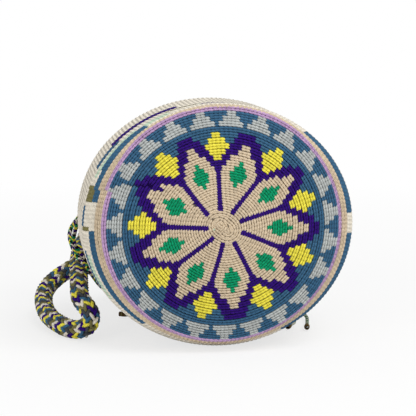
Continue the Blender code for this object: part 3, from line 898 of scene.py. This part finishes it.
# %% Laying the rows
STRING_ROOM = 0.0030              # no stitch is laid this close to the middle of the drawstring
string_line = np.array(smooth_path(string_points, 0.002))
FIRST_LINE = (-0.0048, -0.0004, 0.0040)    # the first stitches, along the start's axis
FIRST_LINE_SIDE = 0.0002
FIRST_STITCH = 0.0043             # their width
CARRIED_SPECK = (-0.0098, -0.0012)         # a bit of the carried green yarn peeps out there
SPECK_SIZE = (0.0016, 0.0018, 0.0022)


def start_the_spiral(points):
    """The short line of stitches that the first round goes about."""
    axis = Vector((math.cos(START_AXIS), 0, math.sin(START_AXIS)))
    side = Vector((-axis.z, 0, axis.x))
    middle = base_point(0, 0) + Vector((FIRST_MIDDLE.x, 0, FIRST_MIDDLE.y))
    out = Vector((0, -1, 0))
    for along in FIRST_LINE:
        place = middle + axis * along + side * FIRST_LINE_SIDE
        points.add(place, axis, out, (FIRST_STITCH, ROW, ROW), "beige")
    speck = middle + Vector((CARRIED_SPECK[0], 0.0001, CARRIED_SPECK[1]))
    points.add(speck, Vector((0.3, 0, 1)), out, SPECK_SIZE, "mint")


def crochet(name, first, last, shape, seed, inside=False):
    """The rows from first to last as one piece of yarn."""
    points = Points()
    if first == 1:
        start_the_spiral(points)
    for row in range(first, last + 1):
        turns = turns_of(row)
        gaps = np.diff(turns)
        for turn, before, behind in zip(turns, [gaps[0], *gaps], [*gaps, gaps[-1]]):
            share = (turn - SPIRAL_START) / (2 * math.pi)
            place, around, out = frame_at(ROW * max(row - 1 + share, 0), turn)
            if np.min(np.sum((string_line - np.array(place)) ** 2, axis=1)) < STRING_ROOM ** 2:
                continue
            if inside:
                place = place - out * WALL
                out = -out
            width = around.length * (before + behind) / 2
            yarn = yarn_at(row, turn)
            if yarn == "purple" and row <= LAST_SINGLE_ROW:
                width *= SPOKE_SWELL
            points.add(place, around, out, (width, ROW, ROW), yarn)
    return points.lay(name, shape, uneven_turn=0.045, uneven_size=0.05, seed=seed)


bag_base = crochet("bag_base", 1, EDGE_ROW, fine_stitch, seed=11)
bag_side = crochet("bag_side", EDGE_ROW + 1, EDGE_ROW + 10, fine_stitch, seed=12)
bag_middle = crochet("bag_middle", EDGE_ROW + 11, EDGE_ROW + 32, plain_stitch, seed=13)
bag_neck = crochet("bag_neck", EDGE_ROW + 33, LAST_ROW, plain_stitch, seed=14)
frill_inside = crochet("frill_inside", NECK_ROW + 1, LAST_ROW, plain_stitch, seed=15, inside=True)

# %% [markdown]
# ## The fabric behind the stitches
#
# Tapestry crochet carries its spare yarns inside the stitches, so nothing shows through: there is
# a dense fabric behind the two strands that the eye sees. It is a closed shell of its own, with an
# outside just below the strands and an inside that shows in the mouth. Its colours are the chart's,
# darkened as painted shade, so that the slits between strands and the inside of the bag look shaded.


# %% The shell
SHELL_DEPTH = 0.0020              # from the tops of the strands to the fabric behind them
BASE_PAINTED_SHADE, WALL_PAINTED_SHADE = 0.38, 0.58    # painted shade in the slits: the share of the yarn's colour that the fabric keeps
LINING_PAINTED_SHADE = 0.75               # and the painted shade of the fabric inside the bag


def shell_material():
    """The fabric's colours come from the chart, darkened as painted shade, through a colour that each vertex
    carries.
    """
    material = bpy.data.materials.new("fabric_behind")
    material.use_nodes = True
    tree = material.node_tree
    shader = tree.nodes["Principled BSDF"]
    chart = new_node(tree, "ShaderNodeAttribute", attribute_name="chart")
    weave = new_node(tree, "ShaderNodeAttribute", attribute_name="weave")
    split = new_node(tree, "ShaderNodeSeparateXYZ")
    tree.links.new(weave.outputs["Vector"], split.inputs[0])
    row_wave = math_node(tree, "SINE", math_node(tree, "MULTIPLY", split.outputs[1], 4 * math.pi))
    stitch_wave = math_node(tree, "SINE", math_node(tree, "MULTIPLY", split.outputs[0], 2 * math.pi))
    height = math_node(tree, "ADD", row_wave, math_node(tree, "MULTIPLY", stitch_wave, 0.5))
    bump = new_node(tree, "ShaderNodeBump")
    bump.inputs["Strength"].default_value = 0.8
    bump.inputs["Distance"].default_value = 0.0008
    tree.links.new(height, bump.inputs["Height"])
    tree.links.new(bump.outputs["Normal"], shader.inputs["Normal"])
    tree.links.new(chart.outputs["Color"], shader.inputs["Base Color"])
    shader.inputs["Roughness"].default_value = 0.95
    shader.inputs["Specular IOR Level"].default_value = 0.1
    return material


def row_at(walk, turn):
    """The chart's row at a distance from the middle and a turn."""
    row = max(1, math.ceil(walk / ROW - (turn - SPIRAL_START) / (2 * math.pi) % 1 + 0.5))
    before_start = (SPIRAL_START - turn) % (2 * math.pi)
    return row + 1 if before_start < SPIRAL_START - start_of(row + 1) else row


def make_shell():
    """Outside and inside of the fabric, closed at the rim."""
    around = WALL_STITCHES
    rows = [ROW * k for k in range(1, LAST_ROW + 1)]
    shell = bmesh.new()
    chart = shell.verts.layers.float_color.new("chart")
    weave = shell.verts.layers.float_vector.new("weave")
    for_side = []
    for depth, shade, wall_painted_shade in ((SHELL_DEPTH, BASE_PAINTED_SHADE, WALL_PAINTED_SHADE),
                                     (WALL, LINING_PAINTED_SHADE, LINING_PAINTED_SHADE)):
        loops = []
        middle_place = surface_at(FIRST_MIDDLE.length, math.atan2(FIRST_MIDDLE.y, FIRST_MIDDLE.x))
        middle_place += Vector((0, depth, 0))
        middle = shell.verts.new(middle_place)
        # the middle, in beige darkened by painted shade
        middle[chart] = [shade * c for c in linear(YARNS["beige"])[:3]] + [1]
        for walk in rows:
            loop = []
            for k in range(around):
                turn = 2 * math.pi * (k + 0.5) / around
                place, _, out = frame_at(walk, turn)
                vert = shell.verts.new(place - out * depth)
                row = row_at(walk, turn)
                # painted shade: the chart's colour is darkened by the share for the base, the wall or the
                # inside
                kept = shade if row <= EDGE_ROW else wall_painted_shade
                vert[chart] = [kept * c for c in linear(YARNS[yarn_at(row, turn)])[:3]] + [1]
                vert[weave] = (k, walk / ROW, 0)
                loop.append(vert)
            loops.append(loop)
        for_side.append((middle, loops))
    for inner, (middle, loops) in enumerate(for_side):
        for k in range(around):
            after = (k + 1) % around
            corners = [(middle, loops[0][k], loops[0][after])]
            corners += [(a[k], b[k], b[after], a[after]) for a, b in zip(loops, loops[1:])]
            for face in corners:
                shell.faces.new(face[::-1] if inner else face)
    outer, inner = for_side[0][1][-1], for_side[1][1][-1]
    for k in range(around):
        after = (k + 1) % around
        shell.faces.new((outer[k], inner[k], inner[after], outer[after]))
    for face in shell.faces:
        face.smooth = True
    made = object_from(shell, "bag_fabric")
    made.data.materials.append(shell_material())
    return made


bag_fabric = make_shell()

# %% [markdown]
# ## Braids
#
# The strap is a round braid of thick strands: each strand goes over the front on a slant and under
# its neighbours, so the eye sees columns of short lumps that slant left and right in turn. A real
# braid could be woven from long curves, but only the lumps ever show, so the lumps are laid on a
# core. The colours follow each other along every column, which gives the chevrons.


# %% Frames along a path, and a braid
def frames_along(path):
    """A point, its direction and a side way at each step, without any twist."""
    tangents = [(b - a).normalized() for a, b in zip(path, path[1:])]
    tangents.append(tangents[-1])
    side = tangents[0].orthogonal().normalized()
    frames = []
    for place, tangent in zip(path, tangents):
        side = (side - tangent * side.dot(tangent)).normalized()
        frames.append((place, tangent, side))
    return frames


def tube(name, path, radius, sides, yarn):
    """A closed round core along a path."""
    shape = bmesh.new()
    loops = []
    for place, tangent, side in frames_along(path):
        other = tangent.cross(side)
        angles = [2 * math.pi * k / sides for k in range(sides)]
        ways = [side * math.cos(angle) + other * math.sin(angle) for angle in angles]
        loops.append([shape.verts.new(place + radius * way) for way in ways])
    for a, b in zip(loops, loops[1:]):
        for k in range(sides):
            after = (k + 1) % sides
            shape.faces.new((a[k], a[after], b[after], b[k])).smooth = True
    shape.faces.new(loops[0])
    shape.faces.new(loops[-1])
    made = object_from(shape, name)
    made.data.materials.append(YARN_MATERIALS[YARN_NUMBER[yarn]])
    return made


def join(name, parts):
    """Several objects as one piece."""
    bpy.ops.object.select_all(action="DESELECT")
    for part in parts:
        part.select_set(True)
    bpy.context.view_layer.objects.active = parts[0]
    bpy.ops.object.join()
    parts[0].name = name
    parts[0].data.name = name
    return parts[0]


LUMP_SINK = 0.7                   # a lump's middle lies this share of its half thickness below the surface
CORE_SIDES = 10
CORE_STEP = 4                     # the core needs only every fourth point of the path
THIN_LEAN = math.radians(50)      # of the lumps on the thin braids


def braid(name, points, diameter, columns, step, lump, lump_size, lean, order, seed, shift=1, front=None):
    """A round braid: columns of slanting lumps on a core.

    Each next pair's colours are shift lumps on. The tips of one row of Vs face the camera at front.
    """
    path = smooth_path(points, step / 2)
    frames = frames_along(path)
    laid = Points()
    ring = diameter / 2 - LUMP_SINK * lump_size[2]
    roll = 0
    if front:
        nearest = min(frames, key=lambda item: (item[0] - Vector(front)).length)
        roll = math.atan2(back.dot(nearest[1].cross(nearest[2])), back.dot(nearest[2]))
    for n, (place, tangent, side) in enumerate(frames):
        other = tangent.cross(side)
        for column in range(columns):
            if (n + column) % 2:
                continue
            angle = roll + 2 * math.pi * (column + 0.5) / columns
            out = side * math.cos(angle) + other * math.sin(angle)
            round_it = tangent.cross(out)
            way = 1 if column % 2 else -1
            along = round_it * math.cos(lean) + tangent * (way * math.sin(lean))
            colour = order[(n // 2 + shift * ((column + 1) // 2)) % len(order)]
            laid.add(place + out * ring, along, out, lump_size, colour)
    lumps = laid.lay(name + "_lumps", lump, uneven_turn=0.08, uneven_size=0.08, seed=seed)
    core = tube(name + "_core", path[::CORE_STEP] + [path[-1]], ring, CORE_SIDES, "charcoal")
    return join(name, [lumps, core]), path


LUMP_STRAND = [((-1, 0, 0), (1, 0, 0), (1, 1), 0.35)]
lump = shape_of_strands("lump", LUMP_STRAND, sides=6, rings=4)
small_lump = shape_of_strands("small_lump", LUMP_STRAND, sides=4, rings=3)

# %% The strap and the drawstring
STRAP_ORDER = ("olive", "charcoal", "blue", "yellow", "purple", "cream")
STRING_ORDER = ("green", "yellow", "purple", "cream", "black")
STRAP_FRONT = (-0.151, -0.030, 0.010)   # the lowest turn of the loop

shoulder_strap, strap_path = braid(
    "shoulder_strap_yarn", strap_points, STRAP_DIAMETER, columns=12, step=0.0057, lump=lump,
    lump_size=(0.0053, 0.0019, 0.0025), lean=math.radians(58), order=STRAP_ORDER, seed=21,
    shift=3, front=STRAP_FRONT)
drawstring, string_path = braid(
    "drawstring_yarn", string_points, STRING_DIAMETER, columns=4, step=0.0034, lump=small_lump,
    lump_size=(0.0027, 0.0014, 0.0011), lean=THIN_LEAN, order=STRING_ORDER, seed=22)

# %% [markdown]
# ## Knots, tails and wrapped ends
#
# The drawstring's ends are knotted, and two thin tails come out of each knot. Their tips are bound
# with thread, and so are the strap's ends on the rim. A binding is a stack of turns of yarn, so it
# is laid by the same tree from one ring.


# %% A ring of yarn, and a binding
THREAD = 0.16                     # the thread's radius as a share of the ring's
THREAD_SHARE = 0.62 / THREAD      # makes a turn a little wider than its share of the length


def ring_shape(name, thread, around, sides):
    """A ring about X with an outer radius of one and a thread of the given radius."""
    shape = bmesh.new()
    ply = shape.loops.layers.uv.new("ply")
    loops = []
    for k in range(around):
        angle = 2 * math.pi * k / around
        out = Vector((0, math.cos(angle), math.sin(angle)))
        loop = []
        for side in range(sides):
            turn = 2 * math.pi * side / sides
            place = out * (1 - thread + thread * math.cos(turn)) + Vector((thread * math.sin(turn), 0, 0))
            loop.append(shape.verts.new(place))
        loops.append(loop)
    for k in range(around):
        for side in range(sides):
            after, beside = (k + 1) % around, (side + 1) % sides
            corners = (loops[k][side], loops[after][side], loops[after][beside], loops[k][beside])
            face = shape.faces.new(corners)
            face.smooth = True
            for loop, uv in zip(face.loops, ((k, side), (k + 1, side), (k + 1, side + 1), (k, side + 1))):
                loop[ply].uv = (uv[0] * 0.5, uv[1] / sides)
    made = object_from(shape, name)
    made.hide_render = True
    return made


def binding(name, start, end, radii, turns, shape, order, seed, tilt=0.04):
    """Turns of yarn side by side between two points; radii are the turns' radii from end to end."""
    start, end = Vector(start), Vector(end)
    axis = (end - start).normalized()
    pitch = (end - start).length / turns
    laid = Points()
    for k in range(turns):
        share = (k + 0.5) / turns
        radius = float(np.interp(share, np.linspace(0, 1, len(radii)), radii))
        place = start.lerp(end, share)
        laid.add(place, axis, axis.orthogonal().normalized(), (pitch * THREAD_SHARE, radius, radius),
                 order[k % len(order)])
    return laid.lay(name, shape, uneven_turn=tilt, uneven_size=0.02, seed=seed)


wide_ring = ring_shape("wide_ring", THREAD, 20, 6)
small_ring = ring_shape("small_ring", THREAD, 10, 5)

# %% The strap's bound ends
SLEEVE_TURNS = 13
for name, fold, seed in (("strap_end_left", LEFT_CREST, 31), ("strap_end_right", RIGHT_CREST, 32)):
    outside = STRAP_DIAMETER / 2 + SLEEVE_CLEARANCE + SLEEVE_WALL
    low_end, high_end = crest_place(fold, SLEEVE_START), crest_place(fold, SLEEVE_START + SLEEVE_LENGTH)
    piece = binding(name + "_yarn", low_end, high_end, [outside], SLEEVE_TURNS, wide_ring,
                    ("olive", "brown"), seed, tilt=0.02)
    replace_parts(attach(piece, "root"), name)

# %% The knots, the tails and their tips
SHORTEST_CORD = 0.030             # tails shorter than this go into a list of short tails
KNOT_RADII = [0.0042, 0.0062, 0.0065, 0.0062, 0.0042]      # of its turns, from end to end
TIP_RADII = [0.0026, TIP_DIAMETER / 2, TIP_DIAMETER / 2, 0.0027]
KNOT_TURNS, TIP_TURNS = 5, 7
short_tails = []
knot_pieces = {}
for side, route, order in (("left", STRING_ROUTE_A, ("green", "yellow", "purple")),
                           ("right", STRING_ROUTE_B, ("purple", "green", "cream"))):
    last, before = Vector(route[-1]), Vector(route[-2])
    way = last - before
    way.z = 0
    way.normalize()
    centre = last + way * (KNOT_RADIUS + 2 * GAP)
    knot_way = (last - centre).normalized() * KNOT_RADIUS
    knot_pieces[side] = binding("knot_" + side + "_yarn", centre - knot_way, centre + knot_way,
                                KNOT_RADII, KNOT_TURNS, wide_ring, order, 41, tilt=0.25)
    for number in (1, 2):
        name = f"{side}_{number}"
        route_points = TAIL_ROUTES[name]
        first = Vector(route_points[0])
        start = centre + (first - centre).normalized() * (KNOT_RADIUS + 2 * GAP)
        tail_points = [start] + route_points
        tail_order = ("mint", "cream") if name == "right_1" else ("green", "black", "cream")
        tail, tail_path = braid("tail_" + name + "_yarn", tail_points, TAIL_DIAMETER, columns=4,
                                step=0.0028, lump=small_lump, lump_size=(0.0021, 0.0012, 0.0009),
                                lean=THIN_LEAN, order=tail_order, seed=50 + number)
        end = Vector(route_points[-1])
        ahead = (end - Vector(route_points[-2])).normalized()
        ahead.z = 0
        begin = end + ahead * GAP
        lift = Vector((0, 0, max(0, TIP_DIAMETER / 2 + GAP - begin.z)))
        tip = binding("tip_" + name + "_yarn", begin + lift, begin + ahead * TIP_LENGTH + lift,
                      TIP_RADII, TIP_TURNS, small_ring,
                      ("brown", "olive", "brown"), 60 + number)
        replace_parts(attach(tail, "root"), "tail_" + name)
        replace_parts(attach(tip, "root"), "tip_" + name)
        if length_of(tail_path) > SHORTEST_CORD:
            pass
        else:
            short_tails += [tail, tip]

# %% [markdown]
# ## Maps for painting the yarns' colours
#
# Each piece's colours are to be painted onto a flat picture once the model has left this file. How
# the piece is unrolled onto that picture is its map. An automatic map would cut thousands of stitches
# apart and lay strangers side by side, so their colours would run into each other. These maps keep
# neighbours together: the base is pressed flat, the wall is unrolled round its axis, and a braid is
# unrolled along its path and cut into a few strips.


# %% The maps
MAP_NAME = "OFBake"
MAP_MARGIN = 0.02
SEARCH_PARTS = 64                 # the search for the nearest point of a path is done in parts


def add_map(piece, flatten):
    """Gives a piece its map; flatten gets each corner and the middle of its face."""
    mesh = piece.data
    coords = np.empty(3 * len(mesh.vertices), np.float32)
    mesh.vertices.foreach_get("co", coords)
    corners = np.empty(len(mesh.loops), np.int32)
    mesh.loops.foreach_get("vertex_index", corners)
    sizes = np.empty(len(mesh.polygons), np.int32)
    mesh.polygons.foreach_get("loop_total", sizes)
    corner_places = coords.reshape(-1, 3)[corners]
    starts = np.concatenate([[0], np.cumsum(sizes)[:-1]])
    middles = np.add.reduceat(corner_places, starts, axis=0) / sizes[:, None]
    across, up = flatten(corner_places, middles, np.repeat(np.arange(len(sizes)), sizes))
    flat = np.stack([across, up], axis=1) * (1 - 2 * MAP_MARGIN) + MAP_MARGIN
    made = mesh.uv_layers.new(name=MAP_NAME)
    made.data.foreach_set("uv", np.clip(flat, 0, 1).astype(np.float32).ravel())


def near(angle, reference):
    """The same angles as shares of a turn, moved so that each is beside its reference."""
    share, reference = angle / (2 * math.pi), reference / (2 * math.pi) % 1
    return reference + (share - reference + 0.5) % 1 - 0.5


def flat_base(places, middles, face):
    size = 2 * (BASE_RADIUS + ROW)
    return (places[:, 0] - BASE_CENTRE[0]) / size + 0.5, (places[:, 2] - BASE_CENTRE[1]) / size + 0.5


def flat_wall(places, middles, face):
    turns = np.arctan2(places[:, 2] - LYING_HEIGHT, places[:, 0])
    middle_turns = np.arctan2(middles[:, 2] - LYING_HEIGHT, middles[:, 0])
    lowest, highest = places[:, 1].min(), places[:, 1].max()
    return near(turns, middle_turns[face]), (places[:, 1] - lowest) / (highest - lowest)


def flat_cord(path, diameter):
    """The flatten function of a cord along a path."""
    frames = frames_along(path)
    points, tangents, sides = (np.array([frame_part[k] for frame_part in frames]) for k in range(3))
    others = np.cross(tangents, sides)
    strips = max(1, round(math.sqrt(length_of(path) / (math.pi * diameter))))
    strip_points = math.ceil(len(points) / strips)
    spacing = length_of(path) / (len(path) - 1)

    def flatten(places, middles, face):
        nearest = np.concatenate([np.argmin(((part[:, None] - points) ** 2).sum(axis=2), axis=1)
                                  for part in np.array_split(middles, SEARCH_PARTS)])
        out = middles - points[nearest]
        middle_turns = np.arctan2((out * others[nearest]).sum(axis=1), (out * sides[nearest]).sum(axis=1))
        nearest = nearest[face]
        out = places - points[nearest]
        turns = np.arctan2((out * others[nearest]).sum(axis=1), (out * sides[nearest]).sum(axis=1))
        strip = nearest // strip_points
        along = nearest - strip * strip_points + (out * tangents[nearest]).sum(axis=1) / spacing
        around = np.clip(near(turns, middle_turns[face]), 0, 1) * (1 - 2 * MAP_MARGIN) + MAP_MARGIN
        return (along + 0.5) / strip_points, (strip + around) / strips

    return flatten


add_map(bag_base, flat_base)
for piece in (bag_side, bag_middle, bag_neck, frill_inside):
    add_map(piece, flat_wall)
add_map(shoulder_strap, flat_cord(strap_path, STRAP_DIAMETER))
add_map(drawstring, flat_cord(string_path, STRING_DIAMETER))
meshes = [thing.data for thing in bpy.data.objects if thing.type == "MESH"]
print("maps made for", sum(MAP_NAME in mesh.uv_layers for mesh in meshes), "pieces")

# %% [markdown]
# ## Putting the pieces on the frame
#
# Every piece rides on the imported model and stands for the plain solids that it replaces.

# %% The pieces and what they stand for
for piece in (bag_base, bag_side, bag_middle, bag_neck, frill_inside, bag_fabric):
    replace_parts(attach(piece, "root"), "bag_body")
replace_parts(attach(shoulder_strap, "root"), "shoulder_strap")
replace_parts(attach(drawstring, "root"), "drawstring")
for side, piece in knot_pieces.items():
    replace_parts(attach(piece, "root"), "knot_" + side)
for shape in (fine_stitch, plain_stitch, lump, small_lump, wide_ring, small_ring):
    bpy.data.objects.remove(shape)

# %% [markdown]
# ## The floor and the light
#
# The picture has a pale floor, a white backdrop and soft shadows, so there are two broad soft
# lamps: a stronger one high on the right and a weaker one lower on the left. They stay at a plain
# level, so that each yarn shows about the colour that it was given.


# %% The floor
CLEAR_NEAR, CLEAR_FAR = 0.72, 1.0    # how much of the floor the camera sees as plain white, near and far
NEAR, FAR = 0.35, 1.3                # distances from the bag
HALF_FLOOR = 6
FLOOR_DROP = 0.0005


def floor_material():
    """Pale to the lamps and nearly white to the camera, with the object's shadow kept."""
    material = bpy.data.materials.new("floor")
    material.use_nodes = True
    tree = material.node_tree
    shader = tree.nodes["Principled BSDF"]
    shader.inputs["Base Color"].default_value = (0.86, 0.86, 0.86, 1)
    shader.inputs["Roughness"].default_value = 0.9
    shader.inputs["Specular IOR Level"].default_value = 0.2
    white = new_node(tree, "ShaderNodeEmission")
    distance = new_node(tree, "ShaderNodeVectorMath", operation="LENGTH")
    tree.links.new(new_node(tree, "ShaderNodeTexCoord").outputs["Object"], distance.inputs[0])
    clear = new_node(tree, "ShaderNodeMapRange")
    for label, value in (("From Min", NEAR), ("From Max", FAR),
                         ("To Min", CLEAR_NEAR), ("To Max", CLEAR_FAR)):
        clear.inputs[label].default_value = value
    tree.links.new(distance.outputs["Value"], clear.inputs["Value"])
    seen = new_node(tree, "ShaderNodeLightPath").outputs["Is Camera Ray"]
    mix = new_node(tree, "ShaderNodeMixShader")
    tree.links.new(math_node(tree, "MULTIPLY", seen, clear.outputs["Result"]), mix.inputs["Fac"])
    tree.links.new(shader.outputs["BSDF"], mix.inputs[1])
    tree.links.new(white.outputs["Emission"], mix.inputs[2])
    tree.links.new(mix.outputs["Shader"], tree.nodes["Material Output"].inputs["Surface"])
    return material


def make_floor():
    """A large square sheet, just under the bag."""
    corners = [(HALF_FLOOR * x, HALF_FLOOR * y, 0) for x, y in ((-1, -1), (1, -1), (1, 1), (-1, 1))]
    mesh = bpy.data.meshes.new("floor")
    mesh.from_pydata(corners, [], [(0, 1, 2, 3)])
    mesh.materials.append(floor_material())
    floor = bpy.data.objects.new("floor", mesh)
    bpy.context.collection.objects.link(floor)
    floor.location.z = -FLOOR_DROP


make_floor()


# %% The lamps and the world
def soft_lamp(name, place, aim, size, watts):
    """A square soft box that looks at a point."""
    data = bpy.data.lights.new(name, "AREA")
    data.size = size
    data.energy = watts
    lamp = bpy.data.objects.new(name, data)
    bpy.context.collection.objects.link(lamp)
    lamp.location = place
    lamp.rotation_mode = "QUATERNION"
    lamp.rotation_quaternion = (Vector(place) - Vector(aim)).to_track_quat("Z", "Y")


MIDDLE_OF_BAG = (0, 0, 0.12)
soft_lamp("key", (1.1, -1.3, 2.4), MIDDLE_OF_BAG, size=1.8, watts=46)
soft_lamp("fill", (-1.5, -1.8, 0.9), MIDDLE_OF_BAG, size=1.4, watts=13)

WORLD_STRENGTH = 0.62
world = bpy.data.worlds.new("studio")
bpy.context.scene.world = world
world.use_nodes = True
tree = world.node_tree
background = tree.nodes["Background"]
background.inputs["Color"].default_value = (1, 1, 1, 1)
seen = new_node(tree, "ShaderNodeLightPath").outputs["Is Camera Ray"]
strength = math_node(tree, "MULTIPLY_ADD", seen, 1 - WORLD_STRENGTH, WORLD_STRENGTH)
tree.links.new(strength, background.inputs["Strength"])
bpy.context.scene.view_settings.view_transform = "Standard"
